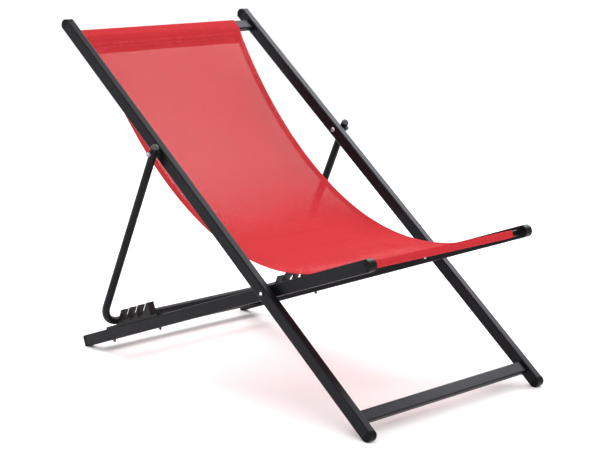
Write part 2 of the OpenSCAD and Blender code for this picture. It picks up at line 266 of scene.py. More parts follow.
@dataclass(frozen=True)
class PowderCoat(Finish):
    """Satin powder coat on aluminium tube: fine orange peel, faint handling marks."""

    deep: Colour = (0.0035, 0.0038, 0.0046)
    worn: Colour = (0.0095, 0.0102, 0.012)
    gloss: float = 0.33
    sheen_level: float = 0.16
    sheen_tint: Colour = (0.88, 0.86, 1.0)
    peel: float = 1500.0
    peel_depth: float = 0.00012
    rub: float = 38.0
    drag: Triple = (6.0, 1.0, 1.0)

    def mix(self) -> bpy.types.Material:
        """Make the powder coat.

        Returns:
            The material.
        """
        sheet = NodeSheet(self.name)
        shader = sheet.shader
        where = sheet.place()
        cloud = sheet.speckle(where, 9.0, 4.0, 0.6)
        grain = sheet.speckle(where, self.peel, 2.0)
        marks = sheet.speckle(sheet.place(self.drag), self.rub, 6.0, 0.72)
        rubbed = sheet.span(marks, 0.6, 0.78, 0.0, 0.55)
        tint = sheet.calc("ADD", sheet.span(cloud, 0.35, 0.7, 0.0, 0.45), rubbed)
        sheet.join(sheet.blend(tint, self.deep, self.worn), shader.inputs["Base Color"])
        dull = sheet.calc("MULTIPLY_ADD", grain, 0.12, self.gloss - 0.06)
        dull = sheet.calc("MULTIPLY_ADD", rubbed, 0.1, dull)
        sheet.join(dull, shader.inputs["Roughness"])
        shader.inputs["Specular IOR Level"].default_value = self.sheen_level
        shader.inputs["Specular Tint"].default_value = (*self.sheen_tint, 1.0)
        sheet.join(sheet.emboss(grain, 0.35, self.peel_depth), shader.inputs["Normal"])
        return sheet.material


@dataclass(frozen=True)
class MouldedPlastic(Finish):
    """Moulded plastic with a spark-eroded grain and faint flow marks."""

    colour: Colour = (0.006, 0.006, 0.0065)
    pale: Colour = (0.012, 0.012, 0.013)
    gloss: float = 0.34
    sheen_level: float = 0.24
    grain: float = 2600.0
    grain_depth: float = 0.00008
    flow_lines: Triple = (1.0, 0.35, 1.0)

    def mix(self) -> bpy.types.Material:
        """Make the plastic.

        Returns:
            The material.
        """
        sheet = NodeSheet(self.name)
        shader = sheet.shader
        where = sheet.place()
        pits = sheet.node("ShaderNodeTexVoronoi", feature="SMOOTH_F1")
        sheet.join(where, pits.inputs["Vector"])
        pits.inputs["Scale"].default_value = self.grain
        flow = sheet.speckle(sheet.place(self.flow_lines), 55.0, 5.0, 0.65)
        sheet.join(
            sheet.blend(sheet.span(flow, 0.35, 0.75, 0.0, 1.0), self.colour, self.pale),
            shader.inputs["Base Color"],
        )
        dull = sheet.calc("MULTIPLY_ADD", flow, 0.16, self.gloss - 0.08)
        sheet.join(dull, shader.inputs["Roughness"])
        shader.inputs["Specular IOR Level"].default_value = self.sheen_level
        sheet.join(
            sheet.emboss(pits.outputs["Distance"], 0.4, self.grain_depth), shader.inputs["Normal"]
        )
        return sheet.material


@dataclass(frozen=True)
class PlatedSteel(Finish):
    """Turned and plated steel with fine tool rings and a clouded plating."""

    colour: Colour = (0.72, 0.72, 0.73)
    cloudy: Colour = (0.5, 0.5, 0.52)
    gloss: float = 0.24
    rings: float = 5200.0
    ring_depth: float = 0.00004
    along_bolt: Triple = (1.0, 0.06, 0.06)

    def mix(self) -> bpy.types.Material:
        """Make the plated steel.

        Returns:
            The material.
        """
        sheet = NodeSheet(self.name)
        shader = sheet.shader
        cloud = sheet.speckle(sheet.place(), 420.0, 4.0, 0.6)
        tool = sheet.speckle(sheet.place(self.along_bolt), self.rings, 2.0)
        sheet.join(
            sheet.blend(sheet.span(cloud, 0.35, 0.7, 0.0, 1.0), self.colour, self.cloudy),
            shader.inputs["Base Color"],
        )
        shader.inputs["Metallic"].default_value = 1.0
        dull = sheet.calc("MULTIPLY_ADD", cloud, 0.2, self.gloss - 0.08)
        sheet.join(dull, shader.inputs["Roughness"])
        sheet.join(sheet.emboss(tool, 0.25, self.ring_depth), shader.inputs["Normal"])
        return sheet.material


@dataclass(frozen=True)
class WovenMesh(Finish):
    """Coated yarn woven into an open mesh, read from the cloth's own flat coordinates.

    Attributes:
        yarn: Colour of the yarns, where they rise and where the dye runs light.
        dark_dye_and_painted_shade: Darker dye, and painted shade between the yarns.
        spacing: Distance between lengthwise and between crosswise yarns, in metres.
        opening: Height of wave below which the mesh is open, at the head and at the seat.
        opening_edge: Range of wave over which a hole's edge fades.
        settles: Lengths down the cloth between which the mesh closes, in metres.
        drift: Length over which each set of yarns wanders, in metres.
        slack: How far they wander, in radians of their wave.
        gloss: Roughness of the coating.
        sheen_level: Strength of its reflection.
        relief_depth: Height of a crossing, in metres.
        streaks: Stretch of the uneven dye along lengthwise yarns.
        bars: Stretch of the uneven dye along crosswise yarns.
        flat_unit: Metres in one unit of the flat coordinates.
    """

    yarn: Colour = (0.56, 0.031, 0.038)
    dark_dye_and_painted_shade: Colour = (0.42, 0.016, 0.022)
    spacing: Pair = (0.00142, 0.00224)
    opening: Pair = (0.6, 0.47)
    opening_edge: float = 0.16
    settles: Pair = (0.45, 0.95)
    drift: Pair = (0.0052, 0.0047)
    slack: float = 2.6
    gloss: float = 0.86
    sheen_level: float = 0.1
    relief_depth: float = 0.0003
    streaks: Triple = (700.0, 4.0, 1.0)
    bars: Triple = (3.0, 520.0, 1.0)
    flat_unit: float = 1.5

    def _yarns(
        self,
        sheet: NodeSheet,
        flat: bpy.types.NodeSocket,
        along: bpy.types.NodeSocket,
        thread: Thread,
    ) -> bpy.types.NodeSocket:
        """Make the wave of one direction's yarns.

        Args:
            sheet: Nodes of the material.
            flat: Flat coordinates of the cloth.
            along: The flat coordinate that counts these yarns.
            thread: Direction in which they run.

        Returns:
            A wave that rises and falls once for each pair of yarns.
        """
        which = list(Thread).index(thread)
        wander = sheet.speckle(flat, self.flat_unit / self.drift[which], 0.0)
        turn = sheet.calc("MULTIPLY", along, math.pi * self.flat_unit / self.spacing[which])
        return sheet.calc("SINE", sheet.calc("MULTIPLY_ADD", wander, self.slack, turn))

    def mix(self) -> bpy.types.Material:
        """Make the mesh cloth.

        Returns:
            The material.
        """
        sheet = NodeSheet(self.name)
        shader = sheet.shader
        flat = sheet.node("ShaderNodeUVMap", uv_map=Sling.FLAT_MAP).outputs["UV"]
        parts = sheet.node("ShaderNodeSeparateXYZ")
        sheet.join(flat, parts.inputs["Vector"])
        across, down = parts.outputs["X"], parts.outputs["Y"]
        long_wave = self._yarns(sheet, flat, across, Thread.LENGTHWISE)
        cross_wave = self._yarns(sheet, flat, down, Thread.CROSSWISE)
        over = sheet.calc("MULTIPLY", long_wave, cross_wave)
        warp, weft = (sheet.calc("ABSOLUTE", wave) for wave in (long_wave, cross_wave))
        cover = sheet.calc("MAXIMUM", warp, weft)
        begin, stop = (length / self.flat_unit for length in self.settles)
        gap = sheet.span(down, begin, stop, *self.opening)
        solid = sheet.span(cover, gap, sheet.calc("ADD", gap, self.opening_edge), 0.0, 1.0)
        relief = sheet.calc("MULTIPLY_ADD", over, 0.35, sheet.calc("MULTIPLY", warp, weft))
        uneven = sheet.calc(
            "ADD",
            sheet.speckle(sheet.stretched(flat, self.streaks), 1.0, 2.0),
            sheet.speckle(sheet.stretched(flat, self.bars), 1.0, 2.0),
        )
        cloud = sheet.speckle(sheet.place(), 14.0, 3.0, 0.6)
        dye_and_painted_shade = sheet.calc("MULTIPLY_ADD", uneven, 0.45, sheet.calc("MULTIPLY", cloud, 0.35))
        # Painted shade: the colour darkens where the weave's relief is low, between the yarns; the
        # noises give uneven dye.
        dye_and_painted_shade = sheet.span(sheet.calc("MULTIPLY_ADD", relief, -0.25, dye_and_painted_shade), 0.2, 0.95, 0.0, 1.0)
        dull = sheet.calc("MULTIPLY_ADD", uneven, 0.16, self.gloss - 0.16)
        sheet.join(sheet.blend(dye_and_painted_shade, self.yarn, self.dark_dye_and_painted_shade), shader.inputs["Base Color"])
        sheet.join(dull, shader.inputs["Roughness"])
        shader.inputs["Specular IOR Level"].default_value = self.sheen_level
        sheet.join(sheet.emboss(relief, 0.5, self.relief_depth), shader.inputs["Normal"])
        sheet.join(solid, shader.inputs["Alpha"])
        return sheet.material


@dataclass(frozen=True)
class SewingThread(Finish):
    """Twisted polyester thread, a shade brighter than the cloth, with painted shade in its
    grooves.
    """

    colour: Colour = (0.62, 0.02, 0.035)
    painted_groove_shade: Colour = (0.32, 0.006, 0.014)
    lay: float = 2600.0
    lay_depth: float = 0.00006

    def mix(self) -> bpy.types.Material:
        """Make the thread.

        Returns:
            The material.
        """
        sheet = NodeSheet(self.name)
        shader = sheet.shader
        wave = sheet.node("ShaderNodeTexWave", wave_type="BANDS", bands_direction="DIAGONAL")
        sheet.join(sheet.place(), wave.inputs["Vector"])
        wave.inputs["Scale"].default_value = self.lay / 3.0
        wave.inputs["Distortion"].default_value = 0.6
        twist = wave.outputs["Fac"]
        # Painted shade: the colour darkens in the low bands of the twist, the grooves between the
        # plies.
        sheet.join(sheet.blend(twist, self.painted_groove_shade, self.colour), shader.inputs["Base Color"])
        sheet.join(sheet.calc("MULTIPLY_ADD", twist, -0.12, 0.6), shader.inputs["Roughness"])
        sheet.join(sheet.emboss(twist, 0.4, self.lay_depth), shader.inputs["Normal"])
        return sheet.material


@dataclass(frozen=True)
class PaleFloor(Finish):
    """Seamless pale studio floor with a barely visible tooth."""

    colour: Colour = (0.93, 0.93, 0.93)
    pale: Colour = (0.96, 0.96, 0.96)

    def mix(self) -> bpy.types.Material:
        """Make the floor.

        Returns:
            The material.
        """
        sheet = NodeSheet(self.name)
        tooth = sheet.speckle(sheet.place(), 3.0, 3.0)
        sheet.join(sheet.blend(tooth, self.colour, self.pale), sheet.shader.inputs["Base Color"])
        sheet.shader.inputs["Roughness"].default_value = 0.9
        sheet.shader.inputs["Specular IOR Level"].default_value = 0.1
        return sheet.material


def dress(nodes: Sequence[str], material: bpy.types.Material) -> None:
    """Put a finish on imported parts.

    Args:
        nodes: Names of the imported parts.
        material: The finish.
    """
    for name in nodes:
        part = bpy.data.objects[name]
        for slot in part.material_slots:
            slot.material = material
        LOG.info("%s wears %s", name, material.name)


# --------------------------------------------------------------------------------------
# Hard sub-assemblies
# --------------------------------------------------------------------------------------


CAP_BLACK: Colour = (0.0032, 0.0032, 0.0036)
CAP_PALE: Colour = (0.0065, 0.0065, 0.007)
WASHER_BLACK: Colour = (0.009, 0.009, 0.0095)
WASHER_PALE: Colour = (0.016, 0.016, 0.017)


def both(stem: str) -> list[str]:
    """Return the names of a left and right pair of parts."""
    return [f"{stem}_{side.name.lower()}" for side in Side]


@dataclass
class SeatFrame:
    """Seat rails, their bars and caps, and the notched racks that hold the support."""

    coat: Finish = PowderCoat("satin black powder coat")
    cap: Finish = MouldedPlastic("moulded cap black", CAP_BLACK, CAP_PALE, 0.26, 0.08)
    rack: Finish = MouldedPlastic(
        "rack nylon black", (0.0042, 0.0042, 0.0048), (0.009, 0.009, 0.01), 0.46, 0.26
    )
    screw: Finish = PlatedSteel("black zinc", (0.1, 0.1, 0.105), (0.06, 0.06, 0.064), 0.36)

    def dress(self) -> None:
        """Put the finishes on the seat frame."""
        dress([*both("seat_rail"), "front_crossbar", "rear_crossbar"], self.coat.mix())
        dress([*both("seat_front_cap"), *both("seat_rear_cap")], self.cap.mix())
        dress(both("notch_rack"), self.rack.mix())
        dress(["rack_screws", "rack_nuts"], self.screw.mix())


@dataclass
class BackFrame:
    """Back rails, their bars and caps."""

    coat: Finish = PowderCoat("satin black powder coat back")
    cap: Finish = MouldedPlastic("moulded cap black back", CAP_BLACK, CAP_PALE, 0.26, 0.08)

    def dress(self) -> None:
        """Put the finishes on the back frame."""
        dress([*both("back_rail"), "head_crossbar", "foot_crossbar"], self.coat.mix())
        dress([*both("head_cap"), *both("foot_cap")], self.cap.mix())


@dataclass
class Pivots:
    """Bolts, washers, spacers and nuts on which the two frames turn."""

    steel: Finish = PlatedSteel("bright zinc")
    washer: Finish = MouldedPlastic("washer nylon black", WASHER_BLACK, WASHER_PALE, 0.45)

    def dress(self) -> None:
        """Put the finishes on the pivots."""
        dress([*both("pivot_bolt"), *both("pivot_nut")], self.steel.mix())
        dress([*both("pivot_washer"), *both("pivot_spacer")], self.washer.mix())


@dataclass
class RearSupport:
    """Bent tube that props the back, with its plugs, washers and cap nuts."""

    coat: Finish = PowderCoat("satin black powder coat tube", gloss=0.42)
    plug: Finish = MouldedPlastic(
        "plug grey", (0.045, 0.046, 0.048), (0.07, 0.071, 0.074), 0.42, grain_depth=0.00005
    )
    washer: Finish = MouldedPlastic("support washer black", WASHER_BLACK, WASHER_PALE, 0.45)
    nut: Finish = PlatedSteel("plated cap nut", (0.38, 0.385, 0.4), (0.26, 0.265, 0.28), 0.32)

    def dress(self) -> None:
        """Put the finishes on the support."""
        dress(["support_frame"], self.coat.mix())
        dress(both("support_plug"), self.plug.mix())
        dress([*both("support_spacer"), *both("support_washer")], self.washer.mix())
        dress([*both("support_cap_nut"), *both("support_bolt")], self.nut.mix())


# --------------------------------------------------------------------------------------
# The sling
# --------------------------------------------------------------------------------------


@dataclass
class Strip:
    """A lengthwise line of the cloth: points, outward normals, and where the cloth is free."""

    points: Array
    normals: Array
    down: Array
    share: Array
    crimp: Array

    def rows(self, kept: slice | Array) -> Strip:
        """Return only some of the strip's rows."""
        return Strip(
            self.points[kept],
            self.normals[kept],
            self.down[kept],
            self.share[kept],
            self.crimp[kept],
        )

    def part(self, station: float) -> int:
        """Return the index of the row nearest a length down the cloth."""
        return int(np.argmin(np.abs(self.down - station)))


@dataclass
class StitchRow:
    """Geometry Nodes tree that lays stitches along lines on the cloth."""

    pitch: float = 0.0038
    length: float = 0.0027
    radius: float = 0.00034
    bead_sides: int = 6
    bead_rings: int = 4

    def tree(self) -> bpy.types.NodeTree:
        """Build the tree of a running stitch.

        Returns:
            A geometry node group with inputs Pitch, Stitch Length, Thread Radius and Thread.
        """
        tree = bpy.data.node_groups.new("running stitch", "GeometryNodeTree")
        face = tree.interface
        face.new_socket("Lines", in_out="INPUT", socket_type="NodeSocketGeometry")
        for name in ("Pitch", "Stitch Length", "Thread Radius"):
            face.new_socket(name, in_out="INPUT", socket_type="NodeSocketFloat")
        face.new_socket("Thread", in_out="INPUT", socket_type="NodeSocketMaterial")
        face.new_socket("Stitches", in_out="OUTPUT", socket_type="NodeSocketGeometry")
        put = tree.nodes.new
        start, end = put("NodeGroupInput"), put("NodeGroupOutput")
        curve = put("GeometryNodeMeshToCurve")
        spaced = put("GeometryNodeResampleCurve")
        spaced.mode = "LENGTH"
        bead = put("GeometryNodeMeshUVSphere")
        bead.inputs["Segments"].default_value = self.bead_sides
        bead.inputs["Rings"].default_value = self.bead_rings
        heading = put("GeometryNodeInputTangent")
        aim = put("FunctionNodeAlignRotationToVector")
        aim.axis = "X"
        halved = put("ShaderNodeMath")
        halved.operation = "MULTIPLY"
        halved.inputs[1].default_value = 0.5
        shape = put("ShaderNodeCombineXYZ")
        laid = put("GeometryNodeInstanceOnPoints")
        real = put("GeometryNodeRealizeInstances")
        dyed = put("GeometryNodeSetMaterial")
        join = tree.links.new
        join(start.outputs["Lines"], curve.inputs[0])
        join(curve.outputs[0], spaced.inputs["Curve"])
        join(start.outputs["Pitch"], spaced.inputs["Length"])
        join(start.outputs["Stitch Length"], halved.inputs[0])
        join(halved.outputs[0], shape.inputs["X"])
        join(start.outputs["Thread Radius"], shape.inputs["Y"])
        join(start.outputs["Thread Radius"], shape.inputs["Z"])
        join(heading.outputs["Tangent"], aim.inputs["Vector"])
        join(spaced.outputs["Curve"], laid.inputs["Points"])
        join(bead.outputs["Mesh"], laid.inputs["Instance"])
        join(aim.outputs["Rotation"], laid.inputs["Rotation"])
        join(shape.outputs["Vector"], laid.inputs["Scale"])
        join(laid.outputs["Instances"], real.inputs["Geometry"])
        join(real.outputs["Geometry"], dyed.inputs["Geometry"])
        join(start.outputs["Thread"], dyed.inputs["Material"])
        join(dyed.outputs["Geometry"], end.inputs["Stitches"])
        return tree

    def sew(
        self,
        name: str,
        lines: Sequence[Array],
        thread: bpy.types.Material,
        tree: bpy.types.NodeTree,
    ) -> bpy.types.Object:
        """Lay stitches along lines.

        Args:
            name: Name of the piece.
            lines: Points of each line, in metres.
            thread: Finish of the thread.
            tree: The running stitch tree.

        Returns:
            A plain mesh object of all the stitches.
        """
        points, edges = [], []
        for line in lines:
            first = len(points)
            points += [tuple(p) for p in line]
            edges += [(first + i, first + i + 1) for i in range(len(line) - 1)]
        guide_mesh = bpy.data.meshes.new(name + "_line")
        guide_mesh.from_pydata(points, edges, [])
        guide = bpy.data.objects.new(name + "_line", guide_mesh)
        bpy.context.scene.collection.objects.link(guide)
        modifier = guide.modifiers.new("stitch", "NODES")
        modifier.node_group = tree
        sockets = {
            s.name: s.identifier for s in tree.interface.items_tree if s.in_out == "INPUT"
        }
        modifier[sockets["Pitch"]] = self.pitch
        modifier[sockets["Stitch Length"]] = self.length
        modifier[sockets["Thread Radius"]] = self.radius
        modifier[sockets["Thread"]] = thread
        graph = bpy.context.evaluated_depsgraph_get()
        sewn = bpy.data.meshes.new_from_object(guide.evaluated_get(graph))
        bpy.data.objects.remove(guide)
        bpy.data.meshes.remove(guide_mesh)
        sewn.name = name
        for face in sewn.polygons:
            face.use_smooth = True
        piece = bpy.data.objects.new(name, sewn)
        bpy.context.scene.collection.objects.link(piece)
        LOG.info("%s: %d faces", name, len(sewn.polygons))
        return piece


@dataclass
class Sling:
    """One strip of mesh cloth, sewn round the head bar and the front bar, hanging between.

    Lengths are in metres and angles in degrees. Shares run along the hanging curve, from 0 at the
    head to 1 at the front.

    Attributes:
        left_edge: Distance of the left edge from the middle of the lounger.
        right_head: The same of the right edge, at the head bar.
        right_front: The same of the right edge, at the front bar.
        flare_share: Share over which the right edge comes in from the head bar.
        thickness: Thickness of the cloth.
        play: Gap between the cloth and the bars.
        pivot: Place (y, z) of the bolts on which the frames turn.
        back_lean: Angle of the back rails.
        seat_tilt: Angle of the seat rails.
        head_bar: Distance of the head bar from the pivot, along the back rails.
        front_bar: Distance of the front bar from the pivot, along the seat rails.
        bar_half: Half the depth and half the height of a bar.
        head_drop: Angle at which the cloth leaves the head bar.
        head_pull: Length of that start's pull on the curve.
        front_rise: Angle at which the cloth reaches the front bar.
        front_pull: Length of that end's pull on the curve.
        split: Share at which the strip is cut in two.
        head_hem: Depth of the hem below the head bar.
        front_hem: Depth of the hem behind the front bar.
        hem_gap: Distance between the two layers of a hem.
        side_hem: Width of a folded side hem.
        fold_gap: Distance between the layers of a side hem.
        settle: Length over which a layer comes off a bar onto the curve.
        row_step: Distance between rows of points.
        back_rows: Number of samples of the curve above the cut.
        seat_rows: Number of samples of the curve below it.
        mesh_columns: Number of columns of points between the side hems.
        selvedge: Distance from an edge to the first of those columns.
        wave: Height of the cloth's soft waves.
        gather: Height of the puckers by the hem.
        curl: Rise of the side edges where the cloth is free.
        free_share: Share over which the cloth comes free of a bar.
        stitch_lift: Height of the stitches above the cloth.
        flat_back: Length of cloth cut for the half above the cut; not used.
        flat_seat: Length of cloth cut for the half below it; not used.
        cloth: Finish of the cloth.
        thread: Finish of the thread.
        stitch: The running stitch.
    """

    FLAT_MAP: ClassVar[str] = "Flat"

    left_edge: float = 0.22
    right_head: float = 0.2685
    right_front: float = 0.245
    flare_share: float = 0.24
    thickness: float = 0.0004
    play: float = 0.001
    pivot: Pair = (-0.176583, 0.250294)
    back_lean: float = 37.9716
    seat_tilt: float = 20.9523
    head_bar: float = 0.793
    front_bar: float = -0.27
    bar_half: Pair = (0.014, 0.007)
    head_drop: float = 59.8
    head_pull: float = 0.303
    front_rise: float = 27.6
    front_pull: float = 0.411
    split: float = 0.62
    head_hem: float = 0.032
    front_hem: float = 0.05
    hem_gap: float = 0.0021
    side_hem: float = 0.017
    fold_gap: float = 0.0012
    settle: float = 0.03
    row_step: float = 0.0046
    back_rows: int = 140
    seat_rows: int = 110
    mesh_columns: int = 97
    selvedge: float = 0.003
    wave: float = 0.0008
    gather: float = 0.0009
    curl: float = 0.004
    free_share: float = 0.04
    stitch_lift: float = 0.00045
    flat_back: float = 0.735
    flat_seat: float = 0.531
    cloth: Finish = WovenMesh("sling mesh red")
    thread: Finish = SewingThread("sling thread red")
    stitch: StitchRow = field(default_factory=StitchRow)

    # -- the side view ------------------------------------------------------------------

    def _turn(self, point: Pair, degrees: float) -> Array:
        """Turn a point of the side view about the pivot.

        Args:
            point: Place (y, z) about the pivot.
            degrees: Angle of the turn.

        Returns:
            The turned point.
        """
        a = math.radians(degrees)
        y, z = point
        return np.array([y * math.cos(a) - z * math.sin(a), y * math.sin(a) + z * math.cos(a)])

    def _controls(self) -> Array:
        """Return the four points that shape the hanging cloth, about the pivot.

        Returns:
            Rows (y, z), from the head bar to the front bar.
        """
        half_long, half_thick = self.bar_half
        top = self._turn((self.head_bar - half_long - self.play, 0.0), self.back_lean)
        low = self._turn(
            (self.front_bar + half_long - 0.002, half_thick + self.play), -self.seat_tilt
        )
        drop, rise = math.radians(self.head_drop), math.radians(self.front_rise)
        return np.array(
            [
                top,
                top - self.head_pull * np.array([math.cos(drop), math.sin(drop)]),
                low + self.front_pull * np.array([math.cos(rise), -math.sin(rise)]),
                low,
            ]
        )

    def hang(self, share: Array) -> tuple[Array, Array]:
        """Return points and sitter-side normals of the hanging cloth.

        Args:
            share: Shares of the curve, from 0 at the head to 1 at the front.

        Returns:
            Points about the pivot and unit normals, each an array of rows (y, z).
        """
        a, b, c, d = self._controls()
        t = np.asarray(share, float)[:, None]
        points = (1 - t) ** 3 * a + 3 * t * (1 - t) ** 2 * b + 3 * t**2 * (1 - t) * c + t**3 * d
        slope = (1 - t) ** 2 * (b - a) + 2 * t * (1 - t) * (c - b) + t**2 * (d - c)
        slope /= np.linalg.norm(slope, axis=1, keepdims=True)
        return points, np.column_stack([slope[:, 1], -slope[:, 0]])

    def at(self, share: float) -> Vector:
        """Return the hanging cloth's middle point at a share of its curve, in metres."""
        point = self.hang(np.array([share]))[0][0]
        return Vector((0.0, point[0] + self.pivot[0], point[1] + self.pivot[1]))

    def _back_share(self) -> Array:
        """Return even shares of the curve above the cut."""
        return np.linspace(0.0, self.split, self.back_rows)

    def _seat_share(self) -> Array:
        """Return even shares of the curve below the cut."""
        return np.linspace(self.split, 1.0, self.seat_rows)

    def _reach(self, share: Array) -> Array:
        """Return lengths along the curve from the first share."""
        points = self.hang(share)[0]
        return np.concatenate([[0.0], np.cumsum(np.linalg.norm(np.diff(points, axis=0), axis=1))])

    def _wrap(self, bar: float, degrees: float, front: int) -> Array:
        """Return the path round a bar, from its inner back edge to its inner sitter edge.

        Args:
            bar: Distance of the bar's centre from the pivot, along its rails.
            degrees: Turn of those rails.
            front: 1 where the outer edge lies further along the rails, -1 where it lies nearer.

        Returns:
            Points about the pivot.
        """
        long = self.bar_half[0] + self.play
        thick = self.bar_half[1] + self.play
        round_off = 0.004
        corners = [
            (-long + round_off, -thick),
            (0.0, -thick),
            (long - round_off, -thick),
            (long, -thick),
            (long, -thick + round_off),
            (long, thick - round_off),
            (long, thick),
            (long - round_off, thick),
            (0.0, thick),
            (-long + round_off, thick),
        ]
        return np.array([self._turn((bar + front * y, z), degrees) for y, z in corners])

    def _smooth(self, line: Array, rounds: int = 2) -> Array:
        """Round the corners of a line by cutting them, keeping its ends.

        Args:
            line: Rows of points.
            rounds: Number of times that the corners are cut.

        Returns:
            The rounded line, with more rows.
        """
        for _ in range(rounds):
            first, second = line[:-1] * 0.75 + line[1:] * 0.25, line[:-1] * 0.25 + line[1:] * 0.75
            cut = np.empty((2 * len(first), line.shape[1]))
            cut[0::2], cut[1::2] = first, second
            line = np.vstack([line[:1], cut, line[-1:]])
        return line

    def _even(self, line: Array, step: float) -> Array:
        """Return the line at about even steps, finer where it turns.

        Args:
            line: Rows that start with a point of the side view.
            step: Distance between rows.

        Returns:
            The line with new rows.
        """
        bend_step = 0.3
        leg = np.diff(line[:, :2], axis=0)
        heading = np.unwrap(np.arctan2(leg[:, 1], leg[:, 0]))
        bend = np.abs(np.gradient(heading))
        cost = np.cumsum(np.linalg.norm(leg, axis=1) / step + bend / bend_step)
        cost = np.concatenate([[0.0], cost])
        wanted = np.linspace(0.0, cost[-1], int(math.ceil(cost[-1])) + 1)
        return np.column_stack([np.interp(wanted, cost, line[:, k]) for k in range(line.shape[1])])

    def _strip(self, line: Array) -> Strip:
        """Turn a line of rows (y, z, share, crimp) into a strip with outward normals.

        Args:
            line: The rows, in order down the cloth.

        Returns:
            The strip.
        """
        line = self._even(self._smooth(line), self.row_step)
        slope = np.gradient(line[:, :2], axis=0)
        slope /= np.linalg.norm(slope, axis=1, keepdims=True)
        seg = np.linalg.norm(np.diff(line[:, :2], axis=0), axis=1)
        down = np.concatenate([[0.0], np.cumsum(seg)])
        normals = np.column_stack([slope[:, 1], -slope[:, 0]])
        return Strip(line[:, :2], normals, down, line[:, 2], line[:, 3])

    def _lift(self, reach: Array) -> Array:
        """Return how far a layer stands off the hanging curve near a bar."""
        return (self.bar_half[1] + self.play) * (1 - eased(reach / self.settle)) * 0.8

    def back_strip(self) -> Strip:
        """Return the head hem, the wrap and the hanging cloth down to the cut.

        Returns:
            The strip of the half above the cut.
        """
        share = self._back_share()
        reach = self._reach(share)
        points, normals = self.hang(share)
        crimp = np.exp(-(((reach - self.head_hem + 0.004) / 0.02) ** 2)) * (reach > 0.008)
        front = points + normals * self._lift(reach)[:, None]
        turn_in = (reach > 0.01) & (reach < self.head_hem + 0.004)
        back_off = self._lift(reach) + self.hem_gap * eased(reach / self.settle)
        rear = points - normals * back_off[:, None]
        rear_rows = np.column_stack([rear, share, crimp])[turn_in][::-1]
        front_rows = np.column_stack([front, share, crimp])[reach > 0.01]
        wrap = self._wrap(self.head_bar, self.back_lean, 1)
        return self._strip(
            np.vstack([rear_rows, np.column_stack([wrap, np.zeros((len(wrap), 2))]), front_rows])
        )

    def seat_strip(self) -> Strip:
        """Return the hanging cloth from the cut on, the front wrap and the front hem.

        Returns:
            The strip of the half below the cut.
        """
        share = self._seat_share()
        reach = self._reach(share)
        left = reach[-1] - reach
        points, normals = self.hang(share)
        under = points - normals * (
            self.hem_gap + (2 * self.bar_half[1] + self.play) * (1 - eased(left / 0.046))[:, None]
        )
        rows = np.column_stack([points, share, np.zeros(len(points))])[left > 0.004]
        turn_in = (left > 0.016) & (left < self.front_hem + 0.006)
        under_rows = np.column_stack([under, share, np.zeros(len(under))])[turn_in][::-1]
        wrap = self._wrap(self.front_bar, -self.seat_tilt, -1)[::-1]
        ends = np.column_stack([np.ones(len(wrap)), np.zeros(len(wrap))])
        return self._strip(np.vstack([rows, np.column_stack([wrap, ends]), under_rows]))

    # -- the cloth ----------------------------------------------------------------------

    def _columns(self) -> Array:
        """Return rows (x, depth, flat x) across the cloth, with both side hems folded in.

        Returns:
            The rows, from the right side hem to the left.
        """
        half, deep = self.left_edge, self.fold_gap
        turn = [
            (half - deep / 2 * (1 - math.sin(a)), deep / 2 * (1 - math.cos(a)))
            for a in np.linspace(0, math.pi, 5)
        ]
        left = turn + [(half - s, deep) for s in np.linspace(0.004, self.side_hem, 4)]
        right = [(-x, depth) for x, depth in reversed(left)]
        last = half - self.selvedge
        inner = [(x, 0.0) for x in np.linspace(-last, last, self.mesh_columns)]
        line = np.array(right + inner + left)
        flat = np.concatenate([[0.0], np.cumsum(np.linalg.norm(np.diff(line, axis=0), axis=1))])
        return np.column_stack([line, flat])

    def _ripple(self, x: float, down: float, crimp: float) -> float:
        """Return the small lift of the cloth at one point: puckers by the hem, soft waves.

        Args:
            x: Place across the cloth.
            down: Length down the cloth.
            crimp: Strength of the puckers, from 0 to 1.

        Returns:
            The lift, outwards.
        """
        wave = noise.noise(Vector((x * 7.0, down * 5.0, 2.7))) * self.wave
        gather = noise.noise(Vector((x * 58.0, down * 3.0, 8.1))) * self.gather
        return wave + gather * crimp

    def _across(self, x: float, share: float) -> float:
        """Move a point of a cloth as wide as twice its left edge out to the real right edge.

        Args:
            x: Place across the cloth, from minus to plus its left edge.
            share: Share of the hanging curve.

        Returns:
            The place across the lounger.
        """
        flare = max(0.0, 1.0 - share / self.flare_share) ** 2
        right = self.right_front + (self.right_head - self.right_front) * flare
        flat_part = self.left_edge - self.side_hem
        if x >= flat_part:
            return x
        moved = right - self.left_edge
        if x <= -flat_part:
            return x - moved
        return x - moved * (flat_part - x) / (2 * flat_part)

    def surface(
        self, strip: Strip, columns: Array, raise_by: float = 0.0
    ) -> tuple[Array, Array]:
        """Return the cloth's points.

        Args:
            strip: The lengthwise line.
            columns: Rows (x, depth, flat x) across it.
            raise_by: Distance off the cloth, outwards.

        Returns:
            Points in metres, and flat coordinates, both by row and column.
        """
        rows, cols = len(strip.points), len(columns)
        made, flat = np.zeros((rows, cols, 3)), np.zeros((rows, cols, 2))
        half = self.left_edge
        for i in range(rows):
            (y, z), (ny, nz) = strip.points[i], strip.normals[i]
            share = strip.share[i]
            free = eased(min(share, 1.0 - share) / self.free_share)
            for j in range(cols):
                x, depth, along = columns[j]
                ripple = self._ripple(x, strip.down[i], strip.crimp[i]) * free
                curl = self.curl * free * abs(x / half) ** 8
                off = raise_by - depth + ripple + curl
                made[i, j] = (
                    self._across(x, share),
                    y + ny * off + self.pivot[0],
                    z + nz * off + self.pivot[1],
                )
                flat[i, j] = (along, strip.down[i])
        return made, flat

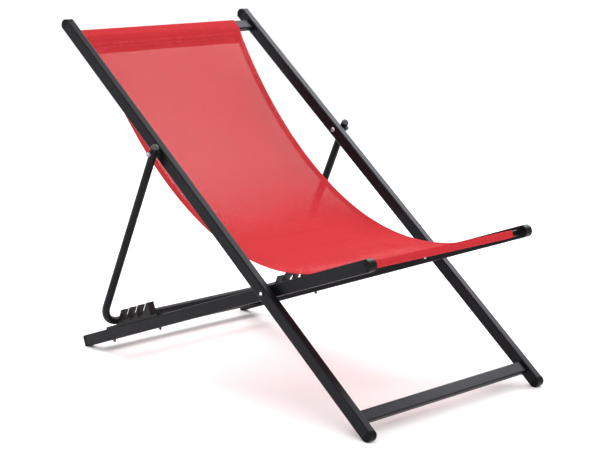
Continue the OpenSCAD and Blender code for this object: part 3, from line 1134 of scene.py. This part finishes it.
    def weave(
        self, name: str, strip: Strip, start: float, material: bpy.types.Material
    ) -> bpy.types.Object:
        """Make one half of the cloth.

        Args:
            name: Name of the piece.
            strip: Its lengthwise line.
            start: Length of cloth before this half, so that the weave runs on across the cut.
            material: The cloth's finish.

        Returns:
            The piece.
        """
        columns = self._columns()
        points, flat = self.surface(strip, columns)
        rows, cols = points.shape[:2]
        faces = [
            (i * cols + j, i * cols + j + 1, (i + 1) * cols + j + 1, (i + 1) * cols + j)
            for i in range(rows - 1)
            for j in range(cols - 1)
        ]
        mesh = bpy.data.meshes.new(name)
        mesh.from_pydata(points.reshape(-1, 3).tolist(), [], faces)
        layer = mesh.uv_layers.new(name=self.FLAT_MAP)
        unit = self.cloth.flat_unit
        spread = (flat.reshape(-1, 2) + np.array([0.0, start])) / unit
        corners = np.array([loop.vertex_index for loop in mesh.loops])
        layer.data.foreach_set("uv", spread[corners].astype(np.float32).ravel())
        mesh.materials.append(material)
        for face in mesh.polygons:
            face.use_smooth = True
        middle = mesh.polygons[(rows // 2) * (cols - 1) + cols // 2]
        if middle.normal.z < 0:
            mesh.flip_normals()
        piece = bpy.data.objects.new(name, mesh)
        bpy.context.scene.collection.objects.link(piece)
        body = piece.modifiers.new("cloth thickness", "SOLIDIFY")
        body.thickness = self.thickness
        body.offset = 0.0
        body.use_rim = False
        LOG.info("%s: %d by %d points, %.0f mm long", name, rows, cols, strip.down[-1] * 1000)
        return piece

    def _crosswise(self, strip: Strip, station: float) -> Array:
        """Return a line of points across the cloth for a row of stitches.

        Args:
            strip: The lengthwise line.
            station: Length down the cloth.

        Returns:
            Points in metres.
        """
        half = self.left_edge - self.selvedge
        columns = np.array([(x, 0.0, 0.0) for x in np.linspace(-half, half, 120)])
        row = strip.part(station)
        line = strip.rows(slice(row, row + 1))
        return self.surface(line, columns, self.stitch_lift)[0][0]

    def _lengthwise(self, strip: Strip, side: Side, begin: float, stop: float) -> Array:
        """Return a line of points down a side hem for a row of stitches.

        Args:
            strip: The lengthwise line.
            side: Which side hem.
            begin: Length down the cloth at which the row begins.
            stop: Length at which it ends.

        Returns:
            Points in metres.
        """
        x = side.value * (self.left_edge - self.side_hem + self.selvedge)
        line = strip.rows((strip.down >= begin) & (strip.down <= stop))
        return self.surface(line, np.array([(x, 0.0, 0.0)]), self.stitch_lift)[0][:, 0]

    def build(self) -> None:
        """Make both halves of the cloth with their stitches, in place of the imported sling."""
        cloth, thread = self.cloth.mix(), self.thread.mix()
        tree = self.stitch.tree()
        back, seat = self.back_strip(), self.seat_strip()
        upper, lower = self._back_share(), self._seat_share()
        upper_reach, lower_reach = self._reach(upper), self._reach(lower)
        end = lower_reach[-1]
        top = float(upper[np.argmin(np.abs(upper_reach - self.head_hem))])
        low = float(lower[np.argmin(np.abs(end - lower_reach - self.front_hem))])

        back_cloth = self.weave("sling_back_cloth", back, 0.0, cloth)
        start = back.down[-1] - upper_reach[-1]
        rows = [self._crosswise(back, start + self.head_hem - gap) for gap in (0.001, 0.006)]
        rows += [self._crosswise(back, gap) for gap in (0.005, 0.01)]
        rows += [self._lengthwise(back, side, start + 0.02, back.down[-1]) for side in Side]
        back_sewing = self.stitch.sew("sling_back_stitches", rows, thread, tree)

        seat_cloth = self.weave("sling_seat_cloth", seat, back.down[-1], cloth)
        rows = [self._crosswise(seat, end - self.front_hem + gap) for gap in (0.002, 0.007)]
        rows += [self._crosswise(seat, seat.down[-1] - gap) for gap in (0.006, 0.011)]
        rows += [self._lengthwise(seat, side, 0.0, end - 0.02) for side in Side]
        seat_sewing = self.stitch.sew("sling_seat_stitches", rows, thread, tree)

        middle, head, front = self.at(self.split), self.at(top), self.at(low)
        for piece in (back_cloth, back_sewing):
            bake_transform(piece)
        for piece in (seat_cloth, seat_sewing):
            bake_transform(piece)
        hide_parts("sling_back")
        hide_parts("sling_seat")
        LOG.info(
            "cloth lengths: back %.0f mm, seat %.0f mm", back.down[-1] * 1000, seat.down[-1] * 1000
        )


# --------------------------------------------------------------------------------------
# The studio
# --------------------------------------------------------------------------------------


@dataclass
class SoftBox:
    """A rectangular studio lamp that looks at one point."""

    name: str
    place: Triple
    size: Pair
    power: float
    colour: Colour = (1.0, 1.0, 1.0)
    target: Triple = (0.0, 0.0, 0.35)

    def light(self) -> bpy.types.Object:
        """Hang the lamp.

        Returns:
            The lamp's object.
        """
        data = bpy.data.lights.new(self.name, "AREA")
        data.shape = "RECTANGLE"
        data.size, data.size_y = self.size
        data.energy = self.power
        data.color = self.colour
        lamp = bpy.data.objects.new(self.name, data)
        aim = (Vector(self.target) - Vector(self.place)).to_track_quat("-Z", "Y")
        lamp.matrix_world = Matrix.Translation(self.place) @ aim.to_matrix().to_4x4()
        bpy.context.scene.collection.objects.link(lamp)
        return lamp


@dataclass
class Studio:
    """Camera, pale floor and soft light."""

    azimuth: float = -45.8032
    elevation: float = 11.7748
    roll: float = 1.1266
    place: Triple = (-2.74463, -2.67357, 1.12958)
    lens: float = 102.774
    sensor: float = 36.0
    reach: float = 60.0
    sink: float = 0.0004
    sky: float = 1.1
    floor: Finish = PaleFloor("pale studio floor")
    lamps: tuple[SoftBox, ...] = (
        SoftBox("key softbox", (2.62, 0.39, 2.385), (2.8, 1.1), 66.0, (0.97, 0.975, 1.0)),
        SoftBox("top softbox", (-0.3, 1.3, 2.9), (1.6, 1.6), 30.0),
        SoftBox("fill softbox", (-2.2, -2.6, 2.6), (2.6, 2.2), 40.0),
    )

    def camera(self) -> None:
        """Set the camera at the viewing angle."""
        data = bpy.data.cameras.new("camera")
        data.sensor_width = self.sensor
        data.lens = self.lens
        data.clip_end = 200.0
        a, e, r = (math.radians(v) for v in (self.azimuth, self.elevation, self.roll))
        back = Vector((math.sin(a) * math.cos(e), -math.cos(a) * math.cos(e), math.sin(e)))
        right = Vector((math.cos(a), math.sin(a), 0.0))
        up = back.cross(right)
        across = right * math.cos(r) + up * math.sin(r)
        above = up * math.cos(r) - right * math.sin(r)
        turn = Matrix((across, above, back)).transposed().to_4x4()
        camera = bpy.data.objects.new("camera", data)
        camera.matrix_world = Matrix.Translation(self.place) @ turn
        bpy.context.scene.collection.objects.link(camera)
        bpy.context.scene.camera = camera

    def ground(self) -> None:
        """Lay the floor."""
        signs = ((-1, -1), (1, -1), (1, 1), (-1, 1))
        corners = [(self.reach * x, self.reach * y, -self.sink) for x, y in signs]
        mesh = bpy.data.meshes.new("studio_floor")
        mesh.from_pydata(corners, [], [(0, 1, 2, 3)])
        mesh.materials.append(self.floor.mix())
        floor = bpy.data.objects.new("studio_floor", mesh)
        bpy.context.scene.collection.objects.link(floor)

    def light(self) -> None:
        """Light the room."""
        world = bpy.data.worlds.new("studio")
        world.use_nodes = True
        sky = world.node_tree.nodes["Background"]
        sky.inputs["Color"].default_value = (1.0, 1.0, 1.0, 1.0)
        sky.inputs["Strength"].default_value = self.sky
        bpy.context.scene.world = world
        bpy.context.scene.view_settings.view_transform = "Standard"
        for lamp in self.lamps:
            lamp.light()

    def build(self) -> None:
        """Set up the whole studio."""
        self.camera()
        self.ground()
        self.light()


def main() -> None:
    """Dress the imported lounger, sew its sling and set the studio."""
    logging.basicConfig(level=logging.INFO, format="%(name)s: %(message)s")
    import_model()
    Studio().build()
    assemblies: list[SeatFrame | BackFrame | Pivots | RearSupport] = [
        SeatFrame(),
        BackFrame(),
        Pivots(),
        RearSupport(),
    ]
    for assembly in assemblies:
        assembly.dress()
        LOG.info("%s is dressed", type(assembly).__name__)
    Sling().build()


if __name__ == "__main__":
    main()
